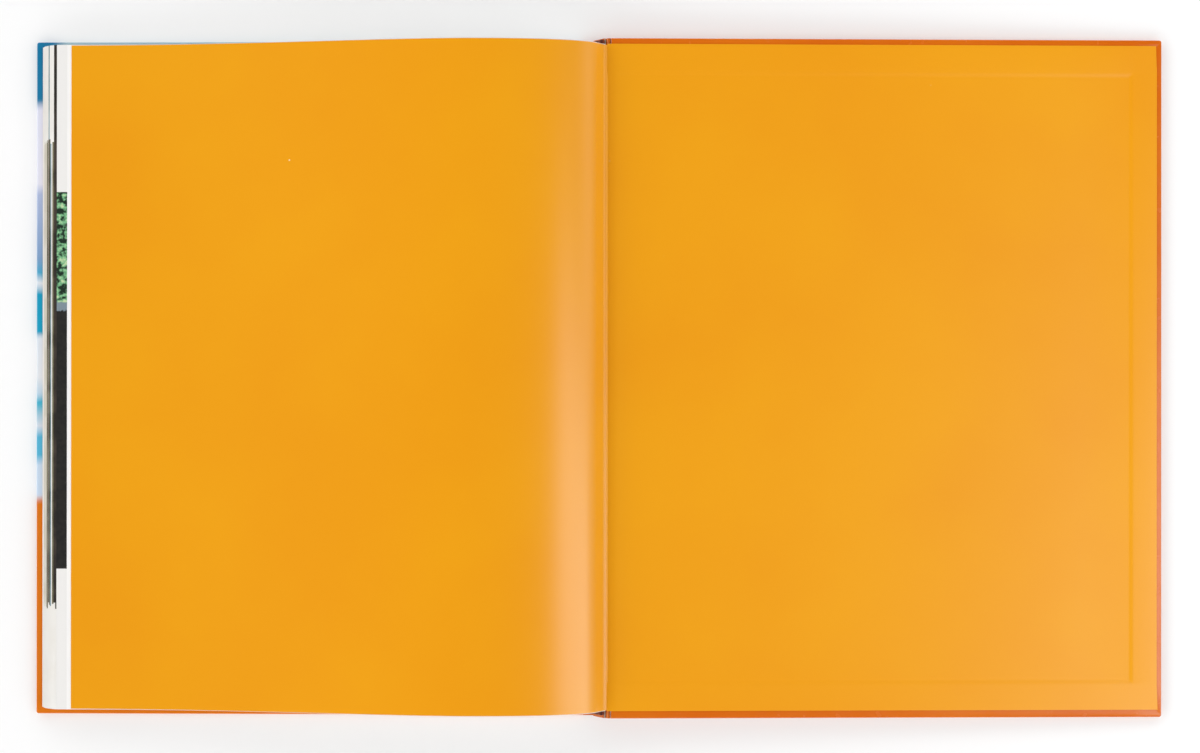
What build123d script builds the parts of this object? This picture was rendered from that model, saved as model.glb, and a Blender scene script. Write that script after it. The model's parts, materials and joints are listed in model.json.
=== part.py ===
from build123d import *
from math import asin, atan, cos, hypot, sin
import os

# A hardback picture book that lies open at its back endpapers. The front cover rests on its outer face
# with the text block on top of it, on the -X side. The back cover leans down from the fold on the +X side
# and rests on its fore edge. +Y is the head of the book, +Z is up, and the middle of the book's footprint
# is the origin. The back fold is the line where the last endpaper bends between block and back cover, and
# the front fold is the same line under the first leaf. Millimetres.

# Pages
page_width = 250.0          # bound edge to fore edge
page_height = 300.0
block_thickness = 7.9       # all leaves between the two endpapers
bound_edge_lean = 6.6       # the last leaf's bound edge stands this far past the first leaf's
block_rise = 0.35           # the block sits this much nearer the head than the covers do
fore_edge_bulge = 1.5       # rounding of the fanned fore edge
printed_leaf_draw = 1.7     # how far the arch draws back the last printed leaf
blank_leaf_draw = 6.4       # the same for the blank leaf on top of it
blank_leaf_thickness = 0.3

# Endpapers
endpaper = 0.2
endpaper_gap = 0.1          # air between a flyleaf and the pastedown it closes on
fold_lap = 0.4              # the back fold stands this far past the last leaf's bound edge
fold_gap = 0.3              # a pastedown ends this far from its fold
pastedown_margin = 2.2      # board left bare at the fore edge
pastedown_rise = 0.4        # the pastedowns sit this much nearer the head than the covers do
flyleaf_height = 299.2
flyleaf_tip = 1.0           # strip of the back flyleaf that is glued down along the fold
flyleaf_draw = 8.4          # how far its arch draws back its fore edge
arch_height = 17.2          # crest of the arched flyleaf above the block
arch_crest = 62.0           # the crest's distance from the fold
arch_rise_run = 7.0         # steepness out of the glued strip, as a run and a rise
arch_rise = 12.0
arch_shoulder = 35.0        # roundness of the crest towards the fold
arch_back = 38.0            # roundness of the crest towards the fore edge
arch_landing = 75.0         # how gently the flyleaf comes down onto the block

# Case
board = 2.5
case_sheet = 0.2            # printed and laminated paper that covers the boards
square = 3.0                # how far the covers' edges stand past the pages
front_joint_gap = 4.0       # open joint between the front fold and the front board
back_joint_gap = 2.0
turn_in = 14.7              # case sheet folded over the boards at head and tail
fore_turn_in = 12.6
corner_radius = 1.0         # fore corners of the covers

# Spine
lining = 0.3                # cloth and paper glued to the bound edge
lining_inset = 1.0
lining_bare_end = 14.0      # bound edge left bare at head and tail
inlay = 1.0                 # card strip that stiffens the spine of the case
inlay_inset = 1.4
spine_turn_in = 14.0
band_depth = 2.2            # head and tail bands, measured across the bound edge
band_height = 2.0
band_round = 0.7            # rounding of the bands' outer edges
band_inset = 0.8            # the bands end this far short of the outer leaves, along the bound edge
strip_gap = 0.1             # air between a joint strip and what it lies against
strip_crest = 0.7           # the back joint strip bends over this far under the pastedown
strip_bend = 0.5            # radius of the joint strips' bends, on the side of the boards

# Covers
cover_width = page_width + square - front_joint_gap
cover_height = page_height + 2 * square
cover_stack = case_sheet + board + case_sheet + endpaper
board_width = cover_width - case_sheet
board_height = cover_height - 2 * case_sheet

# Heights of the block and the folds
block_bottom = cover_stack + endpaper_gap + endpaper
block_top = block_bottom + block_thickness
front_fold_height = cover_stack + endpaper_gap / 2
back_fold_height = block_top + endpaper + endpaper_gap

# Distances along X, from the back fold
last_leaf_x = -fold_lap
first_leaf_x = last_leaf_x - bound_edge_lean
front_reach = front_joint_gap + cover_width
back_reach = back_joint_gap + cover_width

# The back cover turns down about its fold until the outer fore corner meets the table.
back_slope = asin(back_fold_height / hypot(back_reach, cover_stack)) - atan(cover_stack / back_reach)
fold_x = (front_reach - first_leaf_x - back_reach * cos(back_slope)) / 2

# Sections across the book: distance from the back fold, height.
across = Plane(origin=(fold_x, 0, 0), x_dir=(1, 0, 0), z_dir=(0, -1, 0))

# Inner face of each cover: distance out from its fold, then along the spine. The front one's second axis
# points to the tail and the back one's to the head.
front_inner = Plane(origin=(fold_x + first_leaf_x, 0, cover_stack), x_dir=(-1, 0, 0), z_dir=(0, 0, 1))
back_inner = Plane(
    origin=(fold_x, 0, back_fold_height),
    x_dir=(cos(back_slope), 0, -sin(back_slope)),
    z_dir=(sin(back_slope), 0, cos(back_slope)),
)

# The bound edge of the block leans, and the spine lies on it.
bound_edge = hypot(bound_edge_lean, block_thickness)
lean_run = bound_edge_lean / bound_edge
lean_rise = block_thickness / bound_edge
spine = Plane(
    origin=(fold_x + first_leaf_x, 0, block_bottom),
    x_dir=(lean_run, 0, lean_rise),
    z_dir=(lean_rise, 0, -lean_run),
)


def fore_rounded(start, width, height, radius):
    """Plate from `start` to `start + width` out from the fold, its two fore corners rounded."""
    with BuildSketch(mode=Mode.PRIVATE) as plate:
        with Locations((start + width / 2, 0)):
            Rectangle(width, height)
        fillet(plate.vertices().group_by(Axis.X)[-1], radius)
    return plate.sketch


def make_board(inner, joint_gap, name):
    """Greyboard of one cover."""
    with BuildPart() as cover_board:
        with BuildSketch(inner.offset(case_sheet - cover_stack)):
            add(fore_rounded(joint_gap, board_width, board_height, corner_radius - case_sheet))
        extrude(amount=board)
    cover_board.part.label = name
    return cover_board.part


def make_case(inner, joint_gap, name):
    """Case sheet of one cover: outer face, the edges of the board and the turn-ins. Open at the joint."""
    window_width = cover_width - fore_turn_in
    window_height = cover_height - 2 * turn_in
    with BuildPart() as case:
        with BuildSketch(inner.offset(-cover_stack)):
            add(fore_rounded(joint_gap, cover_width, cover_height, corner_radius))
        extrude(amount=cover_stack - endpaper)
        with BuildSketch(inner.offset(case_sheet - cover_stack)):
            add(fore_rounded(joint_gap, board_width, board_height, corner_radius - case_sheet))
        extrude(amount=board, mode=Mode.SUBTRACT)
        with BuildSketch(inner.offset(-endpaper - case_sheet)):
            with Locations((joint_gap + window_width / 2, 0)):
                Rectangle(window_width, window_height)
        extrude(amount=case_sheet, mode=Mode.SUBTRACT)
    case.part.label = name
    return case.part


def make_pastedown(inner, joint_gap, name):
    """Endpaper leaf glued to a cover: sunk between the turn-ins and stepped up over them."""
    end = joint_gap + cover_width - pastedown_margin
    window_end = joint_gap + cover_width - fore_turn_in
    window_height = cover_height - 2 * turn_in
    sunk_end = window_end - endpaper
    rise = pastedown_rise * inner.y_dir.Y
    with BuildPart() as pastedown:
        with BuildSketch(inner.offset(-endpaper - case_sheet)):
            with Locations(((fold_gap + window_end) / 2, 0)):
                Rectangle(window_end - fold_gap, window_height)
        extrude(amount=case_sheet + endpaper)
        with BuildSketch(inner.offset(-endpaper)):
            with Locations(((fold_gap + end) / 2, rise)):
                Rectangle(end - fold_gap, page_height)
        extrude(amount=endpaper)
        with BuildSketch(inner.offset(-case_sheet)):
            with Locations(((fold_gap + sunk_end) / 2, 0)):
                Rectangle(sunk_end - fold_gap, window_height - 2 * endpaper)
        extrude(amount=case_sheet, mode=Mode.SUBTRACT)
    pastedown.part.label = name
    return pastedown.part


def on_spine(along, out):
    """Section point: `along` the bound edge from the first leaf and `out` from it."""
    return (
        first_leaf_x + along * lean_run + out * lean_rise,
        block_bottom + along * lean_rise - out * lean_run,
    )


def on_back_cover(out, up):
    """Section point: `out` from the back fold along the back cover's inner face and `up` from it."""
    return (
        out * cos(back_slope) + up * sin(back_slope),
        back_fold_height - out * sin(back_slope) + up * cos(back_slope),
    )


def make_joint_strip(corners, name):
    """Case sheet in a joint, from the board's edge to the spine, as tall as the covers."""
    with BuildPart() as strip:
        with BuildSketch(across):
            with BuildLine():
                FilletPolyline(*corners, radius=strip_bend)
                offset(amount=case_sheet, side=Side.RIGHT)
            make_face()
        extrude(amount=cover_height / 2, both=True)
    strip.part.label = name
    return strip.part


def make_band(end_face, outward, name):
    """Woven band glued to one end of the bound edge: flat on the leaves and round on top."""
    outline = [on_spine(band_inset, 0), on_spine(bound_edge - band_inset, 0)]
    outline += [(x - band_depth, height) for x, height in reversed(outline)]
    with BuildPart() as band:
        with BuildSketch(across.offset(-end_face)):
            Polygon(*outline, align=None)
        extrude(amount=-outward * band_height)
        long_edges = band.edges().filter_by(Axis(spine.origin, spine.x_dir)).group_by(Axis.Y)
        fillet(long_edges[-1 if outward > 0 else 0], band_round)
    band.part.label = name
    return band.part


front_board = make_board(front_inner, front_joint_gap, "front_board")
back_board = make_board(back_inner, back_joint_gap, "back_board")
front_cover_wrap = make_case(front_inner, front_joint_gap, "front_cover_wrap")
back_cover_wrap = make_case(back_inner, back_joint_gap, "back_cover_wrap")
front_pastedown = make_pastedown(front_inner, front_joint_gap, "front_pastedown")
back_pastedown = make_pastedown(back_inner, back_joint_gap, "back_pastedown")

# Text block: the leaves fan back at the fore edge, and the blank last leaf is drawn back furthest.
printed_top = block_top - blank_leaf_thickness
with BuildPart() as text_block:
    with BuildSketch(across.offset(-block_rise)):
        with BuildLine():
            fore_edge = SagittaArc(
                (first_leaf_x - page_width, block_bottom),
                (printed_leaf_draw - page_width, printed_top),
                fore_edge_bulge,
            )
            Polyline(
                fore_edge @ 1,
                (blank_leaf_draw - page_width, printed_top),
                (blank_leaf_draw - page_width, block_top),
                (last_leaf_x, block_top),
                (first_leaf_x, block_bottom),
                fore_edge @ 0,
            )
        make_face()
    extrude(amount=page_height / 2, both=True)
text_block.part.label = "text_block"

# The front flyleaf lies flat under the first leaf.
with BuildPart() as front_flyleaf:
    with BuildSketch(across.offset(-block_rise)):
        with Locations((first_leaf_x - page_width / 2, block_bottom - endpaper / 2)):
            Rectangle(page_width, endpaper)
    extrude(amount=flyleaf_height / 2, both=True)
front_flyleaf.part.label = "front_flyleaf"

# The back flyleaf is glued down along the fold, then arches over the block and comes down on it.
flyleaf_end = flyleaf_draw - page_width
with BuildPart() as back_flyleaf:
    with BuildSketch(across.offset(-block_rise)):
        with BuildLine():
            for level in (block_top, block_top + endpaper):
                Line((0, level), (-flyleaf_tip, level))
                rise_to_crest = Bezier(
                    (-flyleaf_tip, level),
                    (-flyleaf_tip - arch_rise_run, level + arch_rise),
                    (arch_shoulder - arch_crest, level + arch_height),
                    (-arch_crest, level + arch_height),
                )
                Bezier(
                    rise_to_crest @ 1,
                    (-arch_crest - arch_back, level + arch_height),
                    (flyleaf_end + arch_landing, level),
                    (flyleaf_end, level),
                )
            Line((0, block_top), (0, block_top + endpaper))
            Line((flyleaf_end, block_top), (flyleaf_end, block_top + endpaper))
        make_face()
    extrude(amount=flyleaf_height / 2, both=True)
back_flyleaf.part.label = "back_flyleaf"

# Lining glued to the bound edge, short of its head and tail.
spine_length = bound_edge - 2 * inlay_inset
with BuildPart() as spine_lining:
    with BuildSketch(spine):
        with Locations((bound_edge / 2, -block_rise)):
            Rectangle(bound_edge - 2 * lining_inset, page_height - 2 * lining_bare_end)
    extrude(amount=lining)
spine_lining.part.label = "spine_lining"

# Card strip in the spine of the case.
with BuildPart() as spine_inlay:
    with BuildSketch(spine.offset(lining)):
        with Locations((bound_edge / 2, 0)):
            Rectangle(spine_length, board_height)
    extrude(amount=inlay)
spine_inlay.part.label = "spine_inlay"

# Case sheet over the card strip, turned in over its head and tail ends.
with BuildPart() as spine_wrap:
    with BuildSketch(spine.offset(lining - case_sheet)):
        with Locations((bound_edge / 2, 0)):
            Rectangle(spine_length, cover_height)
    extrude(amount=inlay + 2 * case_sheet)
    with BuildSketch(spine.offset(lining)):
        with Locations((bound_edge / 2, 0)):
            Rectangle(spine_length, board_height)
    extrude(amount=inlay, mode=Mode.SUBTRACT)
    with BuildSketch(spine.offset(lining - case_sheet)):
        with Locations((bound_edge / 2, 0)):
            Rectangle(spine_length, cover_height - 2 * spine_turn_in)
    extrude(amount=case_sheet, mode=Mode.SUBTRACT)
spine_wrap.part.label = "spine_wrap"

head_band = make_band(block_rise + page_height / 2, 1, "head_band")
tail_band = make_band(block_rise - page_height / 2, -1, "tail_band")

# The front joint strip runs up the board's edge, under the pastedown and up to the spine's lower edge.
strip_edge = inlay_inset - strip_gap
strip_face = lining + inlay
front_strip_out = -(front_joint_gap - strip_gap) + first_leaf_x
front_strip_top = cover_stack - case_sheet - endpaper - strip_gap
front_joint_strip = make_joint_strip(
    (
        (front_strip_out, strip_gap),
        (front_strip_out, front_strip_top),
        (first_leaf_x - fold_gap, front_strip_top),
        on_spine(strip_edge, strip_face),
    ),
    "front_joint_strip",
)

# The back joint strip runs on from the spine's upper edge and bends down the back board's edge.
back_strip_out = back_joint_gap - strip_gap
back_joint_strip = make_joint_strip(
    (
        on_spine(bound_edge - strip_edge, strip_face),
        on_back_cover(back_strip_out / 2, -strip_crest),
        on_back_cover(back_strip_out, -cover_stack),
    ),
    "back_joint_strip",
)

pieces = [
    front_board,
    front_cover_wrap,
    front_pastedown,
    front_joint_strip,
    front_flyleaf.part,
    text_block.part,
    back_flyleaf.part,
    spine_lining.part,
    spine_inlay.part,
    spine_wrap.part,
    head_band,
    tail_band,
    back_joint_strip,
    back_pastedown,
    back_cover_wrap,
    back_board,
]
os.makedirs("parts", exist_ok=True)
for piece in pieces:
    export_step(piece, f"parts/{piece.label}.step")

# The covers turn about the folds, which run along Y.
print(f"front fold at x {fold_x + first_leaf_x:.3f}, z {front_fold_height:.3f}")
print(f"back fold at x {fold_x:.3f}, z {back_fold_height:.3f}")
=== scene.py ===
import json
import math
import random
import bpy
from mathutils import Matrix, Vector


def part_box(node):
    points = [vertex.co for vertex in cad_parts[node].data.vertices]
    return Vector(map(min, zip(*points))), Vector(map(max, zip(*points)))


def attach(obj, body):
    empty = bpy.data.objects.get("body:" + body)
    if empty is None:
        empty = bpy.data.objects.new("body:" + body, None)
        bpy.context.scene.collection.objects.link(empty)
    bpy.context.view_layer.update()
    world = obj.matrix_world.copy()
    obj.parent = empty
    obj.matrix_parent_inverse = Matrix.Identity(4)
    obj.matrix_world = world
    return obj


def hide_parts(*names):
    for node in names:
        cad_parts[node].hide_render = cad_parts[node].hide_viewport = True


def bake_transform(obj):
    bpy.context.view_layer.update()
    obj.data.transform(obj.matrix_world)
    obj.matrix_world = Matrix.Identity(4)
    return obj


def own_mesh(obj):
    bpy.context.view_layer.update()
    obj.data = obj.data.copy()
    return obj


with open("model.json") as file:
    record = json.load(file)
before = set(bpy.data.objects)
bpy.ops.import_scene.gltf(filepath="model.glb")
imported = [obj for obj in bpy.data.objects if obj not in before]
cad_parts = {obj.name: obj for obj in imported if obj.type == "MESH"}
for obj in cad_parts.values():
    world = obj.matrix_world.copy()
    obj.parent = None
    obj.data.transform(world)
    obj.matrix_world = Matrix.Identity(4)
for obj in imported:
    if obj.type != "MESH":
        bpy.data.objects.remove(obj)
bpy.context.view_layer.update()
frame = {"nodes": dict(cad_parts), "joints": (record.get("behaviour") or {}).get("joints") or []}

mm = 0.001
joints = {joint["name"]: joint for joint in frame["joints"]}
backFold = Vector(joints["back_hinge"]["pos_m"])
frontFold = Vector(joints["front_hinge"]["pos_m"])
backSlope = math.radians(joints["back_hinge"]["range_deg"][1] - 180)  # the back cover leans down by this
blockLow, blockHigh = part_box("text_block")
bpy.context.scene.view_settings.view_transform = "Standard"


def makeActive(piece):
    if bpy.context.object and bpy.context.object.mode != "OBJECT":
        bpy.ops.object.mode_set(mode="OBJECT")
    bpy.ops.object.select_all(action="DESELECT")
    piece.select_set(True)
    bpy.context.view_layer.objects.active = piece


def startPiece(name, adder, scale=(1, 1, 1), **settings):
    # everything is deselected first, because the new primitive comes in selected all over
    if bpy.context.object and bpy.context.object.mode != "OBJECT":
        bpy.ops.object.mode_set(mode="OBJECT")
    bpy.ops.object.select_all(action="DESELECT")
    adder(**settings)
    piece = bpy.context.object
    piece.name = name
    piece.scale = scale
    bpy.ops.object.transform_apply(location=True, rotation=True, scale=True)
    return piece


def pick(piece, kind, test):
    # leaves the piece in edit mode with only the wanted verts, edges or faces selected
    makeActive(piece)
    mesh = piece.data
    for group in (mesh.vertices, mesh.edges, mesh.polygons):
        for item in group:
            item.select = False
    if kind == "VERT":
        for vert in mesh.vertices:
            vert.select = test(vert.co)
    if kind == "EDGE":
        for edge in mesh.edges:
            first, second = (mesh.vertices[index].co for index in edge.vertices)
            edge.select = test((first + second) / 2, (second - first).normalized())
    if kind == "FACE":
        for face in mesh.polygons:
            face.select = test(face.center, face.normal)
    bpy.context.tool_settings.mesh_select_mode = (kind == "VERT", kind == "EDGE", kind == "FACE")
    bpy.ops.object.mode_set(mode="EDIT")


def shift(piece, test, move):
    pick(piece, "VERT", test)
    bpy.ops.transform.translate(value=move)
    bpy.ops.object.mode_set(mode="OBJECT")


def cutAcross(piece, axis, places):
    # one bisect for each place along the axis
    normal = {"x": (1, 0, 0), "y": (0, 1, 0), "z": (0, 0, 1)}[axis]
    makeActive(piece)
    bpy.ops.object.mode_set(mode="EDIT")
    for place in places:
        bpy.ops.mesh.select_all(action="SELECT")
        bpy.ops.mesh.bisect(plane_co=Vector(normal) * place, plane_no=normal)
    bpy.ops.object.mode_set(mode="OBJECT")


def modify(piece, kind, **settings):
    makeActive(piece)
    modifier = piece.modifiers.new(kind.title(), kind)
    for name, value in settings.items():
        setattr(modifier, name, value)
    bpy.ops.object.modifier_apply(modifier=modifier.name)


def smoothed(piece, degrees):
    makeActive(piece)
    bpy.ops.object.shade_smooth_by_angle(angle=math.radians(degrees))


def outward(piece):
    makeActive(piece)
    bpy.ops.object.mode_set(mode="EDIT")
    bpy.ops.mesh.select_all(action="SELECT")
    bpy.ops.mesh.remove_doubles(threshold=0.001 * mm)
    bpy.ops.mesh.normals_make_consistent(inside=False)
    bpy.ops.object.mode_set(mode="OBJECT")


def joined(name, pieces):
    makeActive(pieces[0])
    for piece in pieces:
        piece.select_set(True)
    bpy.ops.object.join()
    pieces[0].name = name
    return pieces[0]


def linear(hexColour):
    channels = [int(hexColour[place:place + 2], 16) / 255 for place in (1, 3, 5)]
    return [c / 12.92 if c <= 0.04045 else ((c + 0.055) / 1.055) ** 2.4 for c in channels] + [1]


def addNode(tree, kind, settings=None, links=None, output=0):
    # a setting goes to the socket of that name or number, or else to the node; one output comes back
    node = tree.nodes.new("ShaderNode" + kind)
    for name, value in (settings or {}).items():
        if isinstance(name, int) or name in node.inputs:
            node.inputs[name].default_value = value
        else:
            setattr(node, name, value)
    for name, source in (links or {}).items():
        tree.links.new(source, node.inputs[name])
    return node.outputs[output]


def startMaterial(name, **shaderSettings):
    material = bpy.data.materials.new(name)
    material.use_nodes = True
    tree = material.node_tree
    shader = tree.nodes["Principled BSDF"]
    for setting, value in shaderSettings.items():
        shader.inputs[setting.replace("_", " ")].default_value = value
    return material, tree, shader


# what both covers and the block are measured from
near = 0.02 * mm
wrapLow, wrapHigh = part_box("front_cover_wrap")
coverWidth = wrapHigh.x - wrapLow.x
coverHeight = wrapHigh.y - wrapLow.y
wrapDepth = wrapHigh.z - wrapLow.z
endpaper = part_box("front_flyleaf")[1].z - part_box("front_flyleaf")[0].z
coverStack = wrapDepth + endpaper
frontJointGap = frontFold.x - wrapHigh.x
backJointGap = 2.0 * mm
lastLeafX = blockHigh.x
firstLeafX = frontFold.x


def pulledSheet(name, section, low, high, columns, thickness, side=1):
    # a sheet that reaches from low to high along Y, pulled out edge by edge along (x, z) points
    (startX, startZ), (nextX, nextZ) = section[:2]
    piece = startPiece(
        name, bpy.ops.mesh.primitive_grid_add, x_subdivisions=1, y_subdivisions=columns, size=1,
        location=(startX + mm / 2, (low + high) / 2, startZ), scale=(mm, high - low, 1),
    )
    shift(piece, lambda co: co.x > startX + mm / 2, (nextX - startX - mm, 0, nextZ - startZ))
    pick(piece, "EDGE", lambda mid, along: abs(along.y) > 0.9 and
         math.hypot(mid.x - nextX, mid.z - nextZ) < near / 4)
    for (x, z), (furtherX, furtherZ) in zip(section[1:], section[2:]):
        step = {"value": (furtherX - x, 0, furtherZ - z)}
        bpy.ops.mesh.extrude_region_move(TRANSFORM_OT_translate=step)
    bpy.ops.object.mode_set(mode="OBJECT")
    if sum(face.normal.z * face.area for face in piece.data.polygons) < 0:
        pick(piece, "FACE", lambda centre, normal: True)
        bpy.ops.mesh.flip_normals()
        bpy.ops.object.mode_set(mode="OBJECT")
    modify(piece, "SOLIDIFY", thickness=thickness, offset=side, use_even_offset=True)
    return piece


def bezier(points, steps):
    # points along a cubic Bezier, without the first one
    (x0, z0), (x1, z1), (x2, z2), (x3, z3) = points
    found = []
    for step in range(1, steps + 1):
        t = step / steps
        weights = ((1 - t) ** 3, 3 * t * (1 - t) ** 2, 3 * t * t * (1 - t), t ** 3)
        found.append((
            weights[0] * x0 + weights[1] * x1 + weights[2] * x2 + weights[3] * x3,
            weights[0] * z0 + weights[1] * z1 + weights[2] * z2 + weights[3] * z3,
        ))
    return found


def onFrontCover(piece):
    # a cover piece is made flat, out from its fold along +X with its inner face at height 0
    piece.rotation_euler = (0, 0, math.pi)
    piece.location = (frontFold.x, 0, coverStack)
    makeActive(piece)
    bpy.ops.object.transform_apply(location=True, rotation=True, scale=True)


def onBackCover(piece):
    piece.rotation_euler = (0, backSlope, 0)
    piece.location = backFold
    makeActive(piece)
    bpy.ops.object.transform_apply(location=True, rotation=True, scale=True)


def finished(piece, material, nodes, body=None):
    if material:
        piece.data.materials.clear()
        piece.data.materials.append(material)
    if nodes:
        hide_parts(*nodes)
    if body:
        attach(piece, body)


def makeOrangePaper():
    # satin coated paper, dyed orange through: an even deep colour, a soft wide gloss and barely any tooth
    material, tree, shader = startMaterial("orangeSatinPaper", Roughness=0.28, IOR=1.6)
    places = addNode(tree, "TexCoord", output="Object")
    drift = addNode(tree, "TexNoise", {"Scale": 1 / (90 * mm), "Detail": 3}, {"Vector": places})
    driftShare = addNode(tree, "MapRange", {"From Min": 0.35, "From Max": 0.65}, {"Value": drift})
    dyes = {"data_type": "RGBA", 6: linear("#F19E00"), 7: linear("#F3A402")}
    body = addNode(tree, "Mix", dyes, {0: driftShare}, 2)
    grain = addNode(tree, "TexNoise", {"Scale": 1 / (0.9 * mm), "Detail": 4}, {"Vector": places})
    faint = {"From Min": 0.3, "From Max": 0.7, "To Max": 0.012}
    grainShare = addNode(tree, "MapRange", faint, {"Value": grain})
    darker = {"data_type": "RGBA", "blend_type": "MULTIPLY", 7: linear("#D88400")}
    body = addNode(tree, "Mix", darker, {0: grainShare, 6: body}, 2)
    # a few pale specks of dust, only in some places
    specks = addNode(tree, "TexVoronoi", {"Scale": 1 / (26 * mm)}, {"Vector": places}, "Distance")
    dotSize = {"From Min": 0.011, "From Max": 0.016, "To Min": 1.0, "To Max": 0.0}
    dots = addNode(tree, "MapRange", dotSize, {"Value": specks})
    dusty = addNode(tree, "TexNoise", {"Scale": 1 / (70 * mm), "Detail": 1}, {"Vector": places})
    dustyShare = addNode(tree, "MapRange", {"From Min": 0.52, "From Max": 0.56}, {"Value": dusty})
    shown = addNode(tree, "Math", {"operation": "MULTIPLY"}, {0: dots, 1: dustyShare})
    body = addNode(tree, "Mix", {"data_type": "RGBA", 7: linear("#F8DDB0")}, {0: shown, 6: body}, 2)
    tree.links.new(body, shader.inputs["Base Color"])
    gloss = addNode(tree, "TexNoise", {"Scale": 1 / (6 * mm), "Detail": 4}, {"Vector": places})
    glossRange = {"From Min": 0.3, "From Max": 0.7, "To Min": 0.275, "To Max": 0.283}
    tree.links.new(addNode(tree, "MapRange", glossRange, {"Value": gloss}), shader.inputs["Roughness"])
    fibres = addNode(tree, "TexNoise", {"Scale": 1 / (1.5 * mm), "Detail": 2}, {"Vector": places})
    tooth = addNode(tree, "Bump", {"Strength": 0.1, "Distance": 0.003 * mm}, {"Height": fibres})
    tree.links.new(tooth, shader.inputs["Normal"])
    return material


def makeLaminate(name, colour, shade):
    # printed sheet with a film laminate: a strong colour under a clear, slightly rippled gloss
    material, tree, shader = startMaterial(name, Roughness=0.3, IOR=1.5)
    places = addNode(tree, "TexCoord", output="Object")
    tone = addNode(tree, "TexNoise", {"Scale": 1 / (45 * mm), "Detail": 3}, {"Vector": places})
    toneShare = addNode(tree, "MapRange", {"From Min": 0.35, "From Max": 0.65}, {"Value": tone})
    inks = {"data_type": "RGBA", 6: linear(colour), 7: linear(shade)}
    body = addNode(tree, "Mix", inks, {0: toneShare}, 2)
    rub = addNode(tree, "TexNoise", {"Scale": 1 / (3 * mm), "Detail": 5}, {"Vector": places})
    rubRange = {"From Min": 0.66, "From Max": 0.8, "To Max": 0.12}
    rubShare = addNode(tree, "MapRange", rubRange, {"Value": rub})
    body = addNode(tree, "Mix", {"data_type": "RGBA", 7: linear("#F0A060")}, {0: rubShare, 6: body}, 2)
    tree.links.new(body, shader.inputs["Base Color"])
    ripple = addNode(tree, "TexNoise", {"Scale": 1 / (5 * mm), "Detail": 2}, {"Vector": places})
    glossRange = {"From Min": 0.3, "From Max": 0.7, "To Min": 0.2, "To Max": 0.28}
    tree.links.new(addNode(tree, "MapRange", glossRange, {"Value": ripple}), shader.inputs["Roughness"])
    film = addNode(tree, "Bump", {"Strength": 0.6, "Distance": 0.03 * mm}, {"Height": ripple})
    tree.links.new(film, shader.inputs["Normal"])
    return material


def makeFrontPrint():
    # the same laminate over the front cover's print: soft bands of sky colours above a plain orange field
    material, tree, shader = startMaterial("printedLaminate", Roughness=0.3, IOR=1.5)
    places = addNode(tree, "TexCoord", output="Object")
    along = addNode(tree, "SeparateXYZ", {}, {"Vector": places}, "Y")
    sway = addNode(tree, "TexNoise", {"Scale": 1 / (30 * mm), "Detail": 3}, {"Vector": places})
    swayed = addNode(tree, "Math", {"operation": "MULTIPLY_ADD", 1: 8 * mm}, {0: sway, 2: along})
    coverSpan = {"From Min": -150 * mm, "From Max": 158 * mm}
    upTheCover = addNode(tree, "MapRange", coverSpan, {"Value": swayed})
    skyPrint = addNode(tree, "ValToRGB", {}, {"Fac": upTheCover})
    bands = (
        (0.0, "#E07606"), (0.315, "#E07606"), (0.325, "#CCDFF4"), (0.375, "#CCDFF4"), (0.39, "#58B8DC"),
        (0.415, "#58B8DC"), (0.43, "#DCE4F0"), (0.46, "#28B2D0"), (0.475, "#C4DCEE"), (0.5, "#EAEEF4"),
        (0.56, "#E4ECF6"), (0.57, "#12A0C6"), (0.625, "#12A0C6"), (0.64, "#EAEEF6"), (0.655, "#48AAD0"),
        (0.68, "#84A6D0"), (0.77, "#B4C2E4"), (0.785, "#ECECFA"), (0.9, "#E4E6F8"), (0.915, "#0F7AA8"),
        (1.0, "#0F7AA8"),
    )
    stops = skyPrint.node.color_ramp.elements
    for place, colour in bands[2:]:
        stops.new(place)
    for stop, (place, colour) in zip(stops, bands):
        stop.position = place
        stop.color = linear(colour)
    # the deep blue stays at the fore corner and turns hazy further in along the head
    across = addNode(tree, "SeparateXYZ", {}, {"Vector": places}, "X")
    inland = addNode(tree, "MapRange", {"From Min": -248 * mm, "From Max": -242 * mm}, {"Value": across})
    headward = addNode(tree, "MapRange", {"From Min": 120 * mm, "From Max": 130 * mm}, {"Value": along})
    hazy = addNode(tree, "Math", {"operation": "MULTIPLY"}, {0: inland, 1: headward})
    body = addNode(tree, "Mix", {"data_type": "RGBA", 7: linear("#A4C2CE")}, {0: hazy, 6: skyPrint}, 2)
    tree.links.new(body, shader.inputs["Base Color"])
    ripple = addNode(tree, "TexNoise", {"Scale": 1 / (5 * mm), "Detail": 2}, {"Vector": places})
    film = addNode(tree, "Bump", {"Strength": 0.6, "Distance": 0.03 * mm}, {"Height": ripple})
    tree.links.new(film, shader.inputs["Normal"])
    return material


def makeWhitePaper(name, colour="#F8F6F2", shade="#F3F0EA"):
    # coated book paper: clean white with a faint warm cast, smooth and almost matt
    material, tree, shader = startMaterial(name, Roughness=0.5, IOR=1.45)
    places = addNode(tree, "TexCoord", output="Object")
    tone = addNode(tree, "TexNoise", {"Scale": 1 / (20 * mm), "Detail": 3}, {"Vector": places})
    toneShare = addNode(tree, "MapRange", {"From Min": 0.35, "From Max": 0.65}, {"Value": tone})
    whites = {"data_type": "RGBA", 6: linear(colour), 7: linear(shade)}
    tree.links.new(addNode(tree, "Mix", whites, {0: toneShare}, 2), shader.inputs["Base Color"])
    fibres = addNode(tree, "TexNoise", {"Scale": 1 / (0.5 * mm), "Detail": 3}, {"Vector": places})
    tooth = addNode(tree, "Bump", {"Strength": 0.4, "Distance": 0.01 * mm}, {"Height": fibres})
    tree.links.new(tooth, shader.inputs["Normal"])
    return material


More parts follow.
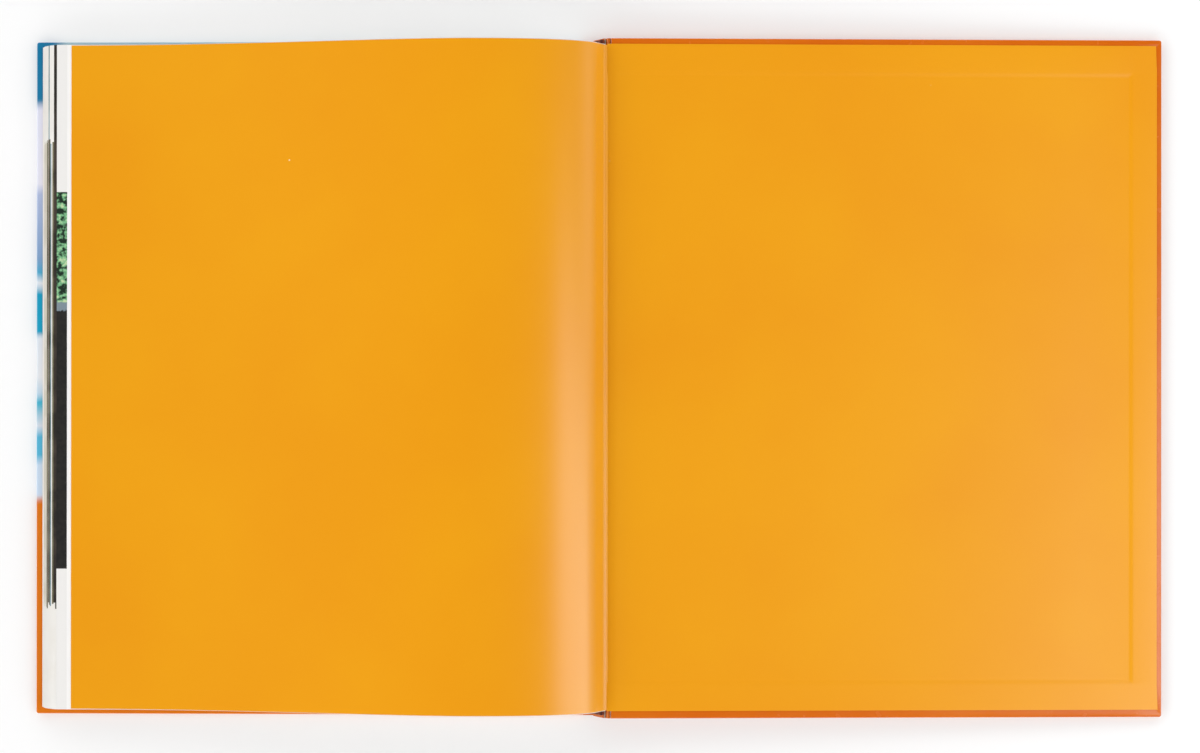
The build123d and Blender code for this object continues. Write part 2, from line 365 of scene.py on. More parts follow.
def makeLeafEdges():
    # cut edges of a stack of leaves: fine level lines, one to every two leaves so that they show
    material, tree, shader = startMaterial("trimmedLeafEdges", Roughness=0.75, IOR=1.45)
    places = addNode(tree, "TexCoord", output="Object")
    layered = addNode(tree, "Mapping", {"Scale": (0.02, 0.02, 1)}, {"Vector": places})
    lines = addNode(tree, "TexNoise", {"Scale": 1 / (0.3 * mm), "Detail": 2}, {"Vector": layered})
    lineShare = addNode(tree, "MapRange", {"From Min": 0.35, "From Max": 0.6}, {"Value": lines})
    papers = {"data_type": "RGBA", 6: linear("#C9C3BA"), 7: linear("#F2EFEA")}
    body = addNode(tree, "Mix", papers, {0: lineShare}, 2)
    patches = addNode(tree, "Mapping", {"Scale": (0.3, 0.3, 1)}, {"Vector": places})
    ink = addNode(tree, "TexNoise", {"Scale": 1 / (2.2 * mm), "Detail": 1}, {"Vector": patches})
    inkRange = {"From Min": 0.58, "From Max": 0.7, "To Max": 0.45}
    inkShare = addNode(tree, "MapRange", inkRange, {"Value": ink})
    body = addNode(tree, "Mix", {"data_type": "RGBA", 7: linear("#A08C7C")}, {0: inkShare, 6: body}, 2)
    tree.links.new(body, shader.inputs["Base Color"])
    steps = addNode(tree, "Bump", {"Strength": 0.8, "Distance": 0.05 * mm}, {"Height": lines})
    tree.links.new(steps, shader.inputs["Normal"])
    return material


def makeInk(name, colour, other):
    # a tint that comes and goes along a leaf's margin, mostly four-colour printing that runs off the edge of
    # a leaf
    material, tree, shader = startMaterial(name, Roughness=0.42, IOR=1.5)
    places = addNode(tree, "TexCoord", output="Object")
    patches = addNode(tree, "TexNoise", {"Scale": 1 / (14 * mm), "Detail": 4}, {"Vector": places})
    patchShare = addNode(tree, "MapRange", {"From Min": 0.42, "From Max": 0.58}, {"Value": patches})
    tints = {"data_type": "RGBA", 6: linear(colour), 7: linear(other)}
    tree.links.new(addNode(tree, "Mix", tints, {0: patchShare}, 2), shader.inputs["Base Color"])
    dots = addNode(tree, "TexNoise", {"Scale": 1 / (0.4 * mm), "Detail": 2}, {"Vector": places})
    inkFilm = addNode(tree, "Bump", {"Strength": 0.4, "Distance": 0.01 * mm}, {"Height": dots})
    tree.links.new(inkFilm, shader.inputs["Normal"])
    return material


def makePictureLeaf():
    # a picture printed to the edge: white border, foliage green, then a near-black field
    material, tree, shader = startMaterial("picturePrint", Roughness=0.42, IOR=1.5)
    places = addNode(tree, "TexCoord", output="Object")
    along = addNode(tree, "SeparateXYZ", {}, {"Vector": places}, "Y")
    leafy = addNode(tree, "TexNoise", {"Scale": 1 / (2 * mm), "Detail": 5}, {"Vector": places})
    leafShare = addNode(tree, "MapRange", {"From Min": 0.42, "From Max": 0.55}, {"Value": leafy})
    greens = {"data_type": "RGBA", 6: linear("#10281A"), 7: linear("#7FBF8C")}
    foliage = addNode(tree, "Mix", greens, {0: leafShare}, 2)
    lit = addNode(tree, "MapRange", {"From Min": 0.57, "From Max": 0.66}, {"Value": leafy})
    foliage = addNode(tree, "Mix", {"data_type": "RGBA", 7: linear("#C4D8A8")}, {0: lit, 6: foliage}, 2)
    darkShare = addNode(tree, "MapRange", {"From Min": 0.4, "From Max": 0.6}, {"Value": leafy})
    blacks = {"data_type": "RGBA", 6: linear("#1A1918"), 7: linear("#24221F")}
    dark = addNode(tree, "Mix", blacks, {0: darkShare}, 2)
    ragged = addNode(tree, "Math", {"operation": "MULTIPLY_ADD", 1: 4 * mm}, {0: leafy, 2: along})
    # the fields follow one another up the leaf, from the tail border to the head border
    pastTail = addNode(tree, "MapRange", {"From Min": -86.3 * mm, "From Max": -86 * mm}, {"Value": along})
    body = addNode(tree, "Mix", {"data_type": "RGBA", 6: linear("#F1EFEC")}, {0: pastTail, 7: dark}, 2)
    pastDark = addNode(tree, "MapRange", {"From Min": 32 * mm, "From Max": 32.5 * mm}, {"Value": ragged})
    body = addNode(tree, "Mix", {"data_type": "RGBA", 7: linear("#7F8F99")}, {0: pastDark, 6: body}, 2)
    pastStone = addNode(tree, "MapRange", {"From Min": 36 * mm, "From Max": 37 * mm}, {"Value": ragged})
    body = addNode(tree, "Mix", {"data_type": "RGBA"}, {0: pastStone, 6: body, 7: foliage}, 2)
    pastLeaves = addNode(tree, "MapRange", {"From Min": 83.8 * mm, "From Max": 84 * mm}, {"Value": along})
    body = addNode(tree, "Mix", {"data_type": "RGBA", 7: linear("#F1EFEC")}, {0: pastLeaves, 6: body}, 2)
    tree.links.new(body, shader.inputs["Base Color"])
    inkFilm = addNode(tree, "Bump", {"Strength": 0.4, "Distance": 0.005 * mm}, {"Height": leafy})
    tree.links.new(inkFilm, shader.inputs["Normal"])
    return material


def makeGreyboard(name, colour, fibre):
    # greyboard: pressed waste paper, grey-brown with darker fibres
    material, tree, shader = startMaterial(name, Roughness=0.9, IOR=1.45)
    places = addNode(tree, "TexCoord", output="Object")
    flakes = addNode(tree, "TexNoise", {"Scale": 1 / (1.2 * mm), "Detail": 5}, {"Vector": places})
    flakeShare = addNode(tree, "MapRange", {"From Min": 0.35, "From Max": 0.65}, {"Value": flakes})
    pulps = {"data_type": "RGBA", 6: linear(colour), 7: linear(fibre)}
    tree.links.new(addNode(tree, "Mix", pulps, {0: flakeShare}, 2), shader.inputs["Base Color"])
    pressed = addNode(tree, "Bump", {"Strength": 1.0, "Distance": 0.05 * mm}, {"Height": flakes})
    tree.links.new(pressed, shader.inputs["Normal"])
    return material


def makeMull():
    # open-weave mull soaked in glue on the bound edge: crossed threads, their brown darkened as painted shade
    # for the shaded gutter ends
    material, tree, shader = startMaterial("gluedMullPaintedShade", Roughness=0.85, IOR=1.45)
    places = addNode(tree, "TexCoord", output="Object")
    threadScale = 1 / (1.2 * mm) / 6.283
    warpSettings = {"Scale": threadScale, "bands_direction": "Y"}
    weftSettings = {"Scale": threadScale, "bands_direction": "Z"}
    warp = addNode(tree, "TexWave", warpSettings, {"Vector": places}, "Fac")
    weft = addNode(tree, "TexWave", weftSettings, {"Vector": places}, "Fac")
    weave = addNode(tree, "Math", {"operation": "MAXIMUM"}, {0: warp, 1: weft})
    # both thread browns carry painted shade for the gutter ends
    paintedShadeCloths = {"data_type": "RGBA", 6: linear("#6E4030"), 7: linear("#A67656")}
    tree.links.new(addNode(tree, "Mix", paintedShadeCloths, {0: weave}, 2), shader.inputs["Base Color"])
    threads = addNode(tree, "Bump", {"Strength": 1.0, "Distance": 0.1 * mm}, {"Height": weave})
    tree.links.new(threads, shader.inputs["Normal"])
    return material


def makeBandCloth():
    # woven head and tail band: silky ribs of two thread colours across the spine
    material, tree, shader = startMaterial("wovenBandCloth", Roughness=0.6, IOR=1.45, Sheen_Weight=0.04)
    places = addNode(tree, "TexCoord", output="Object")
    ribScale = 1 / (1.1 * mm) / 20 * 3.14159  # a wave of one rib every 1.1 mm
    ribSettings = {"Scale": ribScale, "bands_direction": "X"}
    ribs = addNode(tree, "TexWave", ribSettings, {"Vector": places}, "Fac")
    ribShare = addNode(tree, "MapRange", {"From Min": 0.4, "From Max": 0.6}, {"Value": ribs})
    silks = {"data_type": "RGBA", 6: linear("#4E1A0C"), 7: linear("#742C14")}
    tree.links.new(addNode(tree, "Mix", silks, {0: ribShare}, 2), shader.inputs["Base Color"])
    raised = addNode(tree, "Bump", {"Strength": 1.0, "Distance": 0.15 * mm}, {"Height": ribs})
    tree.links.new(raised, shader.inputs["Normal"])
    return material


orangePaper = makeOrangePaper()
orangeLaminate = makeLaminate("orangeLaminate", "#D86600", "#DC6E04")
frontPrint = makeFrontPrint()
whitePaper = makeWhitePaper("coatedWhitePaper")
blankPaper = makeWhitePaper("blankLeafPaper", "#FBF9F6", "#F7F5F4")
leafEdges = makeLeafEdges()
pictureLeaf = makePictureLeaf()
margins = {
    "white": whitePaper,
    "cream": makeInk("creamTint", "#E9E4DA", "#DDD6C8"),
    "olive": makeInk("oliveInk", "#5A583F", "#7E7A60"),
    "pink": makeInk("pinkTint", "#DCC6BE", "#E6D8D0"),
    "dark": makeInk("darkOliveInk", "#34322A", "#55524A"),
    "teal": makeInk("tealInk", "#62858F", "#86A3AD"),
    # the top bundles' margins beside the picture leaf are simply drawn dark brown
    "brown": makeInk("darkBrownMargin", "#2A2420", "#463C34"),
}
greyboard = makeGreyboard("greyboard", "#A39C90", "#8B8478")
spineCard = makeGreyboard("spineCard", "#B5AE9F", "#A09887")
mull = makeMull()
bandCloth = makeBandCloth()
print("materials made")

cadFinishes = {
    "front_board": greyboard, "back_board": greyboard, "spine_inlay": spineCard, "spine_lining": mull,
    "head_band": bandCloth, "tail_band": bandCloth, "front_flyleaf": orangePaper,
    "spine_wrap": orangeLaminate,
}
for nodeName, finish in cadFinishes.items():
    for materialSlot in frame["nodes"][nodeName].material_slots:
        materialSlot.material = finish


case = dict(
    thickness=0.2 * mm,
    turnIn=14.7 * mm,
    foreTurnIn=12.6 * mm,
    cornerRadius=1.0 * mm,
    edgeRound=0.4 * mm,
    mitre=0.6 * mm,  # width of the fold where two turn-ins meet
    mitreDepth=0.2 * mm,
    earWidth=1.6 * mm,  # the turn-ins' corners curl up a little beside the joint
    earReach=2.0 * mm,
    earRise=0.4 * mm,
)


def makeCaseSheet(name, jointGap):
    fore = jointGap + coverWidth
    top = -endpaper
    piece = startPiece(
        name, bpy.ops.mesh.primitive_cube_add, size=1,
        location=(jointGap + coverWidth / 2, 0, top - wrapDepth / 2),
        scale=(coverWidth, coverHeight, wrapDepth),
    )
    pick(piece, "EDGE", lambda mid, along: abs(along.z) > 0.9 and mid.x > fore - near)
    bpy.ops.mesh.bevel(offset=case["cornerRadius"], segments=5)
    bpy.ops.object.mode_set(mode="OBJECT")
    pick(piece, "EDGE", lambda mid, along: abs(along.z) < 0.1 and mid.x > jointGap + near)
    bpy.ops.mesh.bevel(offset=case["edgeRound"], segments=3)
    bpy.ops.object.mode_set(mode="OBJECT")
    windowX = fore - case["foreTurnIn"]
    windowY = coverHeight / 2 - case["turnIn"]
    windowEdges = (((windowX, 0, 0), (1, 0, 0)), ((0, windowY, 0), (0, 1, 0)), ((0, -windowY, 0), (0, 1, 0)))
    for place, normal in windowEdges:
        pick(piece, "FACE", lambda centre, facing: facing.z > 0.9 and centre.z > top - near)
        bpy.ops.mesh.bisect(plane_co=place, plane_no=normal)
        bpy.ops.object.mode_set(mode="OBJECT")
    for head in (1, -1):
        outer = Vector((fore - 0.3 * mm, head * (coverHeight / 2 - 0.3 * mm), 0))
        inner = Vector((windowX, head * windowY, 0))
        across = (outer - inner).cross(Vector((0, 0, 1)))
        pick(piece, "FACE", lambda centre, facing: facing.z > 0.9 and centre.z > top - near and
             centre.x > windowX and centre.y * head > windowY)
        bpy.ops.mesh.bisect(plane_co=inner, plane_no=across)
        bpy.ops.object.mode_set(mode="OBJECT")
        fold = (outer - inner).normalized()
        pick(piece, "EDGE", lambda mid, along: abs(along.dot(fold)) > 0.999 and mid.z > top - near and
             mid.x > windowX and mid.y * head > windowY)
        bpy.ops.mesh.bevel(offset=case["mitre"] / 2, segments=2)
        bpy.ops.object.mode_set(mode="OBJECT")
        flat = across.normalized()
        shift(piece, lambda co: co.z > top - near and co.x > windowX - near and
              co.y * head > windowY - near and
              abs((co - inner - Vector((0, 0, top))).dot(flat)) < near, (0, 0, -case["mitreDepth"]))
    cutAcross(piece, "x", [jointGap + case["earWidth"]])
    cutAcross(piece, "y", [coverHeight / 2 - case["earReach"], case["earReach"] - coverHeight / 2])
    shift(piece, lambda co: co.x < jointGap + near and co.z > top - near and
          abs(co.y) > coverHeight / 2 - case["earReach"] + near, (0, 0, case["earRise"]))
    pick(piece, "FACE", lambda centre, facing: centre.x < jointGap + near or
         (facing.z > 0.9 and centre.x < windowX and abs(centre.y) < windowY))
    bpy.ops.mesh.delete(type="FACE")
    bpy.ops.object.mode_set(mode="OBJECT")
    modify(piece, "SOLIDIFY", thickness=case["thickness"], offset=-1)
    smoothed(piece, 35)
    return piece


frontCase = makeCaseSheet("frontCaseSheet", frontJointGap)
onFrontCover(frontCase)
finished(frontCase, frontPrint, ["front_cover_wrap"], "front_cover")
backCase = makeCaseSheet("backCaseSheet", backJointGap)
onBackCover(backCase)
finished(backCase, orangeLaminate, ["back_cover_wrap"], "back_cover")
print("case sheets made")


pastedown = dict(
    frontMargin=3.1 * mm,
    backMargin=2.2 * mm,
    jointDip=0.25 * mm,  # the sheet sinks towards the fold
    jointRidge=0.1 * mm,  # and stands up over the glued edge of the cloth beside it
    ridgeAt=4.2 * mm,
    ridgeHalf=0.6 * mm,
    ridgeFoot=3 * mm,
    skew=0.8 * mm,  # how much wider the bare margin is at the head than at the tail
    foldGap=0.3 * mm,
    ridge=2.6 * mm,  # width of the step over the turn-ins' edges
    rise=0.4 * mm,
)


def makePastedown(name, jointGap, headward, margin):
    end = jointGap + coverWidth - margin
    windowX = jointGap + coverWidth - case["foreTurnIn"]
    windowY = coverHeight / 2 - case["turnIn"]
    start = pastedown["foldGap"]
    sheetHeight = blockHigh.y - blockLow.y
    lift = pastedown["rise"] * headward
    piece = startPiece(
        name, bpy.ops.mesh.primitive_plane_add, size=1,
        location=((start + end) / 2, lift, -case["thickness"] - endpaper),
        scale=(end - start, sheetHeight, 1),
    )
    ridge = pastedown["ridge"]
    ridgeAt = pastedown["ridgeAt"]
    ridgeHalf = pastedown["ridgeHalf"]
    ridgeFoot = ridgeAt + pastedown["ridgeFoot"]
    cutAcross(piece, "x", [ridgeAt - 2 * mm, ridgeAt - ridgeHalf, ridgeAt, ridgeAt + ridgeHalf, ridgeFoot])
    cutAcross(piece, "x", [start + share * (windowX - start) for share in (0.05, 0.3, 0.6, 0.9)])
    cutAcross(piece, "x", [windowX - ridge + ridge * step / 4 for step in range(5)])
    for head in (-1, 1):
        cutAcross(piece, "y", [head * (windowY - ridge + ridge * step / 4) for step in range(5)])
    # the sheet climbs over the turn-ins' edges in a smooth step
    for step in range(1, 5):
        share = step / 4
        climb = share * share * (3 - 2 * share) * case["thickness"]
        edgeX = windowX - ridge + ridge * share
        edgeY = windowY - ridge + ridge * share
        last = step == 4
        shift(piece, lambda co: (abs(co.x - edgeX) < near and abs(co.y) < edgeY + near) or
              (abs(abs(co.y) - edgeY) < near and co.x < edgeX + near) or
              (last and (co.x > edgeX - near or abs(co.y) > edgeY - near)), (0, 0, climb))
    if headward > 0:
        jointRidge = pastedown["jointRidge"]
        jointMoves = (
            (start, -pastedown["jointDip"]), (ridgeAt - ridgeHalf, 0.7 * jointRidge), (ridgeAt, jointRidge),
            (ridgeAt + ridgeHalf, 0.8 * jointRidge), (ridgeFoot, 0.25 * jointRidge),
        )
        for place, move in jointMoves:
            shift(piece, lambda co: abs(co.x - place) < near, (0, 0, move))
    fore = end - near
    half = sheetHeight / 2
    for head in (-1, 1):
        shift(piece, lambda co: co.x > fore and (co.y - lift) * head > half - near,
              (-pastedown["skew"] / 2 * head * headward, 0, 0))
    modify(piece, "SOLIDIFY", thickness=endpaper, offset=1, use_even_offset=True)
    smoothed(piece, 60)
    return piece


frontPastedown = makePastedown("frontPastedown", frontJointGap, -1, pastedown["frontMargin"])
onFrontCover(frontPastedown)
finished(frontPastedown, orangePaper, ["front_pastedown"], "front_cover")
backPastedown = makePastedown("backPastedown", backJointGap, 1, pastedown["backMargin"])
onBackCover(backPastedown)
finished(backPastedown, orangePaper, ["back_pastedown"], "back_cover")
print("pastedowns made")


# printed leaves, in bundles that show their steps at the fore edge
block = dict(
    bundles=27,
    foreLow=-250.0 * mm,  # from the first leaf's bound edge
    foreHigh=-248.3 * mm,  # from the back fold
    bulge=1.5 * mm,
    blankLeaf=0.3 * mm,
    uneven=0.1 * mm,
    printedHead=107 * mm,
    printedTail=-103 * mm,
)
# the tint of each bundle's margin, from the top down
marginTints = ("brown", "brown", "olive", "white", "teal", "olive", "dark", "pink", "olive", "olive")
marginTints += ("cream",) * 8
headLines = {"brown": "brown", "dark": "teal"}  # what still shows nearer the head
printedTop = blockHigh.z - block["blankLeaf"]
foreStart = Vector((firstLeafX + block["foreLow"], 0, blockLow.z))
foreEnd = Vector((backFold.x + block["foreHigh"], 0, printedTop))


def foreEdgeAt(height):
    # the fanned fore edge bows out between its two ends
    chord = foreEnd - foreStart
    outX, outZ = -chord.z / chord.length, chord.x / chord.length
    bow = 4 * block["bulge"]
    slope = chord.z + outZ * bow
    share = (slope - math.sqrt(slope ** 2 - 4 * outZ * bow * (height - foreStart.z))) / (2 * outZ * bow)
    return foreStart.x + share * chord.x + outX * bow * share * (1 - share)


def boundEdgeAt(height):
    share = (height - blockLow.z) / (blockHigh.z - blockLow.z)
    return firstLeafX + share * (lastLeafX - firstLeafX)


blockMiddle = (blockLow.y + blockHigh.y) / 2
blockHalf = (blockHigh.y - blockLow.y) / 2
dice = random.Random(4)
bundle = startPiece("leafBundle", bpy.ops.mesh.primitive_cube_add, size=1,
                    location=(0, blockMiddle, 0), scale=(1, 2 * blockHalf, 1))
cutAcross(bundle, "y", [block["printedTail"], block["printedHead"]])
bundles = []
bundleDepth = (printedTop - blockLow.z) / block["bundles"]
forePlaces = [foreEdgeAt(blockLow.z + bundleDepth * (k + 0.5)) for k in range(block["bundles"])]
for k in range(block["bundles"]):
    low = blockLow.z + bundleDepth * k
    makeActive(bundle)
    bpy.ops.object.duplicate(linked=False)
    copy = bpy.context.object
    fore = max(foreStart.x, forePlaces[k] + dice.uniform(-1, 1) * block["uneven"])
    bound = boundEdgeAt(low)
    boundAbove = boundEdgeAt(low + bundleDepth)
    shift(copy, lambda co: co.x < 0, (fore + 0.5, 0, 0))
    shift(copy, lambda co: co.x > 0.4 and co.z < 0, (bound - 0.5, 0, 0))
    shift(copy, lambda co: co.x > 0.4 and co.z > 0, (boundAbove - 0.5, 0, 0))
    trim = dice.uniform(0, 0.06) * mm
    shift(copy, lambda co: co.y > blockMiddle + blockHalf - near, (0, -trim, 0))
    shift(copy, lambda co: co.y < blockMiddle - blockHalf + near, (0, trim, 0))
    shift(copy, lambda co: co.z < 0, (0, 0, low + 0.5))
    shift(copy, lambda co: co.z > 0.4, (0, 0, low + bundleDepth - 0.5))
    fromTop = block["bundles"] - 1 - k
    tint = marginTints[fromTop] if fromTop < len(marginTints) else "white"
    for edge in (block["printedTail"], block["printedHead"]):
        shift(copy, lambda co: abs(co.y - edge) < near, (0, dice.uniform(-1.5, 1.5) * mm, 0))
    for material in (leafEdges, whitePaper, margins[tint], margins[headLines.get(tint, "white")]):
        copy.data.materials.append(material)
    for face in copy.data.polygons:
        if abs(face.normal.z) > 0.9:
            face.material_index = 1
        if face.normal.z > 0.9 and face.center.y > block["printedTail"]:
            face.material_index = 2 if face.center.y < block["printedHead"] else 3
    bundles.append(copy)
bpy.data.objects.remove(bundle)
pageBlock = joined("pageBlock", bundles)
finished(pageBlock, None, ["text_block"], "text_block")
print("page block made of", len(bundles), "bundles")


# the flyleaf and the loose leaves that arch up under it
arch = dict(
    foot=(1.5 * mm, 0.72 * mm),  # a gentler slope right beside the fold, as a run and a rise
    creaseX=-4.9 * mm,
    creaseRise=5.2 * mm,
    riseX=-10.5 * mm,  # where the sheet heads after the crease
    rise=11.2 * mm,
    shoulder=35 * mm,
    crest=-62 * mm,
    height=17.2 * mm,
    back=38 * mm,
    landing=75 * mm,
    loosening=60 * mm,  # how much sooner the lower leaves come down
    flyleafEnd=-241.6 * mm,
    blankEnd=-243.6 * mm,
    pictureEnd=-248.3 * mm,
    tailDrop=0.9,  # share of its height that the arch keeps at the tail
)


def archSection(end, base, share, root):
    # from the bound edge over the crest and down to the fore edge, in the frame's own x and z
    crest = (arch["crest"], arch["height"] * share)
    footRun, footRise = arch["foot"]
    points = [(root, 0), (root - footRun / 8, footRise / 8 * share), (root - footRun, footRise * share)]
    lean = (1 - share) * 6 * mm
    crease = (arch["creaseX"] - lean, arch["creaseRise"] * share)
    foot = points[-1]
    points += bezier([foot, (foot[0] - 0.3 * mm, foot[1] + 0.4 * mm * share), crease, crease], 5)
    points += bezier([crease, (arch["riseX"] - lean, arch["rise"] * share),
                      (crest[0] + arch["shoulder"], crest[1]), crest], 16)
    down = end if share == 1 else arch["flyleafEnd"] + (1 - share) * arch["loosening"] + 9 * mm
    points += bezier([crest, (crest[0] - arch["back"], crest[1]), (down + arch["landing"], 0), (down, 0)], 22)
    if share < 1:
        points += [(down + (end - down) * step / 3, 0) for step in (1, 2, 3)]
    return [(backFold.x + x, base + z) for x, z in points]


def lowerTowardsTail(piece, base):
    # each column of the sheet is flattened a little more towards the tail
    ends = sorted({round(vert.co.y, 6) for vert in piece.data.vertices})
    for place in ends:
        share = (blockHigh.y - place) / (blockHigh.y - blockLow.y)
        keep = 1 - (1 - arch["tailDrop"]) * share * share
        pick(piece, "VERT", lambda co: abs(co.y - place) < near)
        bpy.ops.transform.resize(value=(1, 1, keep), center_override=(0, place, base))
        bpy.ops.object.mode_set(mode="OBJECT")


flyLow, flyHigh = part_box("back_flyleaf")
leafTop = blockHigh.z
flyleaf = pulledSheet("backFlyleaf", archSection(arch["flyleafEnd"], leafTop + 0.02 * mm, 1, 0),
                      flyLow.y, flyHigh.y, 10, endpaper - 0.02 * mm)
lowerTowardsTail(flyleaf, leafTop)
smoothed(flyleaf, 60)
finished(flyleaf, orangePaper, ["back_flyleaf"], "text_block")
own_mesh(flyleaf)

leafStack = [(0.97, arch["blankEnd"], blankPaper), (0.93, arch["pictureEnd"], pictureLeaf)]
for number, share in enumerate((0.84, 0.74, 0.63, 0.52, 0.4, 0.27, 0.14), 1):
    leafStack.append((share, arch["pictureEnd"] + 0.15 * mm * number, whitePaper))
for number, (share, end, paper) in enumerate(leafStack, 1):
    base = leafTop - 0.035 * mm * number
    leaf = pulledSheet(f"looseLeaf.{number}", archSection(end, base, share, -0.1 * mm * number - 0.5 * mm),
                       blockLow.y + 0.02 * mm, blockHigh.y - 0.02 * mm, 10, 0.1 * mm, -1)
    lowerTowardsTail(leaf, base)
    smoothed(leaf, 60)
    finished(leaf, paper, [], "text_block")
    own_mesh(leaf)
print("arched leaves made")


# the fold of the endpaper and the joints between the block and the covers
joint = dict(
    # the fold itself, from the back fold and the block's top
    roll=((-0.5 * mm, 0.46 * mm), (-0.3 * mm, 0.38 * mm), (-0.1 * mm, 0.28 * mm), (0.05 * mm, 0.12 * mm),
          (0.15 * mm, -0.04 * mm), (0.35 * mm, -0.15 * mm), (0.8 * mm, -0.11 * mm)),
    foldThickness=0.12 * mm,
    bendHalf=0.3 * mm,  # the endpaper bends over this much on both sides of the fold
    strip=0.2 * mm,
    stripGap=0.2 * mm,  # from the boards
    frontHeight=2.5 * mm,  # of the front strip over the table, where it runs level
    backShoulder=1.5 * mm,  # below the back cover's inner face
    spineInset=1.3 * mm,  # where the strips leave the spine, from the block's first and last leaf
    spineClear=1.2 * mm,
)


def bendingSheet(name, section, low, high, thickness, material, nodes):
    piece = pulledSheet(name, section, low, high, 8, thickness, 0)
    outward(piece)
    smoothed(piece, 60)
    finished(piece, material, nodes)
    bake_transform(piece)
    return piece


roll = [(backFold.x + out, leafTop + up) for out, up in joint["roll"]]
bendingSheet("endpaperFold", roll, flyLow.y, flyHigh.y, joint["foldThickness"], orangePaper,
             [])

boundRun = Vector((lastLeafX - firstLeafX, 0, blockHigh.z - blockLow.z))
alongSpine = boundRun.normalized()
outSpine = Vector((alongSpine.z, 0, -alongSpine.x))
spineFoot = Vector((firstLeafX, 0, blockLow.z))
clear = outSpine * joint["spineClear"]
frontEdge = spineFoot + alongSpine * joint["spineInset"] + clear
backEdge = spineFoot + alongSpine * (boundRun.length - joint["spineInset"]) + clear
stripX = frontFold.x - frontJointGap + joint["stripGap"]
crown = joint["frontHeight"]
frontStrip = [(stripX, 0.15 * mm), (stripX, 1.2 * mm), (stripX + 0.02 * mm, 2.0 * mm)]
frontStrip += bezier([(stripX + 0.02 * mm, 2.0 * mm), (stripX + 0.05 * mm, crown),
                      (stripX + 0.1 * mm, crown), (stripX + 0.6 * mm, crown)], 5)
frontStrip += [(frontFold.x - 1.2 * mm, crown)]
frontStrip += bezier([frontStrip[-1], (frontFold.x + 0.2 * mm, crown),
                      (frontEdge.x - 1 * mm, frontEdge.z - 1.2 * mm), (frontEdge.x, frontEdge.z)], 6)
bendingSheet("frontJointStrip", frontStrip, -coverHeight / 2, coverHeight / 2, joint["strip"], orangeLaminate,
             ["front_joint_strip"])

outBack = Vector((math.cos(backSlope), 0, -math.sin(backSlope)))
upBack = Vector((math.sin(backSlope), 0, math.cos(backSlope)))
bend = backFold + outBack * 1 * mm - upBack * 0.8 * mm
besideBoard = backFold + outBack * (backJointGap - joint["stripGap"])
foot = besideBoard - upBack * coverStack
shoulder = besideBoard - upBack * joint["backShoulder"]
backStrip = [(backEdge.x, backEdge.z)]
backStrip += bezier([(backEdge.x, backEdge.z), (bend.x - 0.5 * mm, bend.z + 0.1 * mm),
                     (shoulder.x, shoulder.z + 0.8 * mm), (shoulder.x, shoulder.z)], 10)
backStrip += [(foot.x, foot.z)]
bendingSheet("backJointStrip", backStrip, -coverHeight / 2, coverHeight / 2, joint["strip"], orangeLaminate,
             ["back_joint_strip"])
print("folds and joints made")


studio = dict(
    lensMm=56.1,
    sensorMm=36,
    clipStart=0.05,
    camera=(13.35 * mm, -0.23 * mm, 851.95 * mm),
    tilt=(0.069, 0.80, 0.043),
    keyAngle=43,  # from straight up
    keyTurn=-16,  # round from +X towards the tail
    keyDistance=3.2,
    keyWide=1.25,
    keyTall=2.1,
    keyWatts=30,
    tableSize=6,
    tableGlow=0.285,
    tableClouds=0.2,  # size of the faint differences in its white
    rightWall=0.42,  # the wall behind the panel is dimmer
    rightSpan=(0.2, 0.75),  # how far towards +X that wall begins and is full
    wallTop=0.4,  # share of the way up at which the walls have their full light
    walls=3.16,
    skirting=0.45,  # the walls are dimmer low down
    ceiling=(64, 44),  # the walls fade into the ceiling between these angles from straight up
    ceilingLight=0.04,
)
# opal acrylic light table: white, faintly lit from inside, so shadows on it stay pale
floorMaterial, floorTree, floorShader = startMaterial("opalAcrylicTable", Roughness=0.6, IOR=1.49)
floorShader.inputs["Emission Color"].default_value = (1, 1, 1, 1)
floorShader.inputs["Emission Strength"].default_value = studio["tableGlow"]
floorPlaces = addNode(floorTree, "TexCoord", output="Object")
floorNoise = {"Scale": 1 / studio["tableClouds"], "Detail": 3}
floorTone = addNode(floorTree, "TexNoise", floorNoise, {"Vector": floorPlaces})
floorWhites = {"data_type": "RGBA", 6: linear("#D8D8D8"), 7: linear("#DADADA")}
floorColour = addNode(floorTree, "Mix", floorWhites, {0: floorTone}, 2)
floorTree.links.new(floorColour, floorShader.inputs["Base Color"])
floor = startPiece("tableTop", bpy.ops.mesh.primitive_plane_add, size=studio["tableSize"], location=(0, 0, 0))
floor.data.materials.append(floorMaterial)

world = bpy.data.worlds.new("softRoom")
bpy.context.scene.world = world
world.use_nodes = True
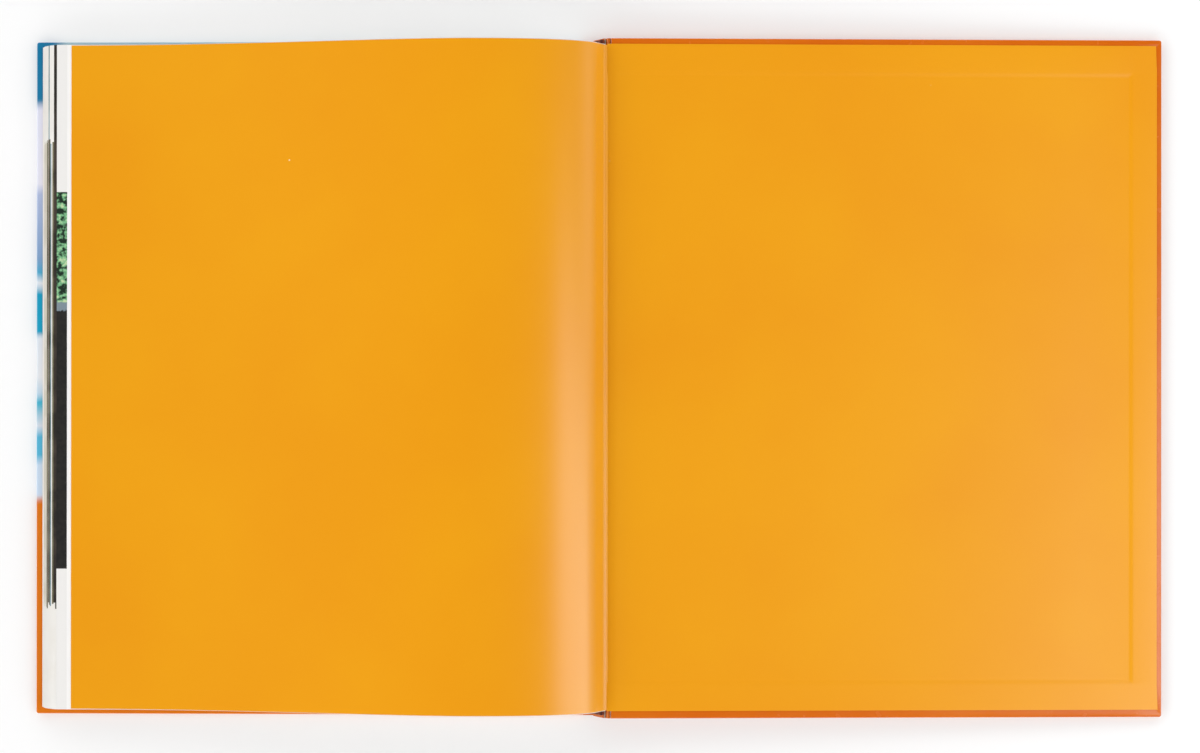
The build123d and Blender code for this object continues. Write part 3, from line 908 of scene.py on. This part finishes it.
# white walls all round and a dim ceiling, so that flat paper keeps its full colour from above
background = world.node_tree.nodes["Background"]
room = world.node_tree
outlook = addNode(room, "TexCoord", output="Generated")
upward = addNode(room, "SeparateXYZ", {}, {"Vector": outlook}, "Z")
wallRange = {"From Max": studio["wallTop"], "To Min": studio["skirting"], "To Max": studio["walls"]}
wallLight = addNode(room, "MapRange", wallRange, {"Value": upward})
dimFrom, dimTo = (math.cos(math.radians(angle)) for angle in studio["ceiling"])
ceilingRange = {"From Min": dimFrom, "From Max": dimTo, "To Min": 1.0, "To Max": studio["ceilingLight"]}
ceilingShare = addNode(room, "MapRange", ceilingRange, {"Value": upward})
rightward = addNode(room, "SeparateXYZ", {}, {"Vector": outlook}, "X")
rightLow, rightHigh = studio["rightSpan"]
rightRange = {"From Min": rightLow, "From Max": rightHigh, "To Min": 1.0, "To Max": studio["rightWall"]}
rightShare = addNode(room, "MapRange", rightRange, {"Value": rightward})
wallsAndCeiling = addNode(room, "Math", {"operation": "MULTIPLY"}, {0: wallLight, 1: ceilingShare})
brightness = addNode(room, "Math", {"operation": "MULTIPLY"}, {0: wallsAndCeiling, 1: rightShare})
room.links.new(brightness, background.inputs["Strength"])
background.inputs["Color"].default_value = (1, 1, 1, 1)

keyTilt = math.radians(studio["keyAngle"])
keyTurn = math.radians(studio["keyTurn"])
keyFlat = Vector((math.cos(keyTurn), math.sin(keyTurn), 0)) * math.sin(keyTilt)
keyAim = keyFlat + Vector((0, 0, math.cos(keyTilt)))
bpy.ops.object.light_add(type="AREA", location=keyAim * studio["keyDistance"])
key = bpy.context.object
key.name = "keyPanel"
key.rotation_euler = keyAim.to_track_quat("Z", "Y").to_euler()
key.data.shape = "RECTANGLE"
key.data.size = studio["keyWide"]
key.data.size_y = studio["keyTall"]
key.data.energy = studio["keyWatts"]

bpy.ops.object.camera_add(location=studio["camera"])
camera = bpy.context.object
camera.name = "overheadCamera"
camera.rotation_euler = [math.radians(angle) for angle in studio["tilt"]]
camera.data.lens = studio["lensMm"]
camera.data.sensor_width = studio["sensorMm"]
camera.data.clip_start = studio["clipStart"]
bpy.context.scene.camera = camera
print("studio made")
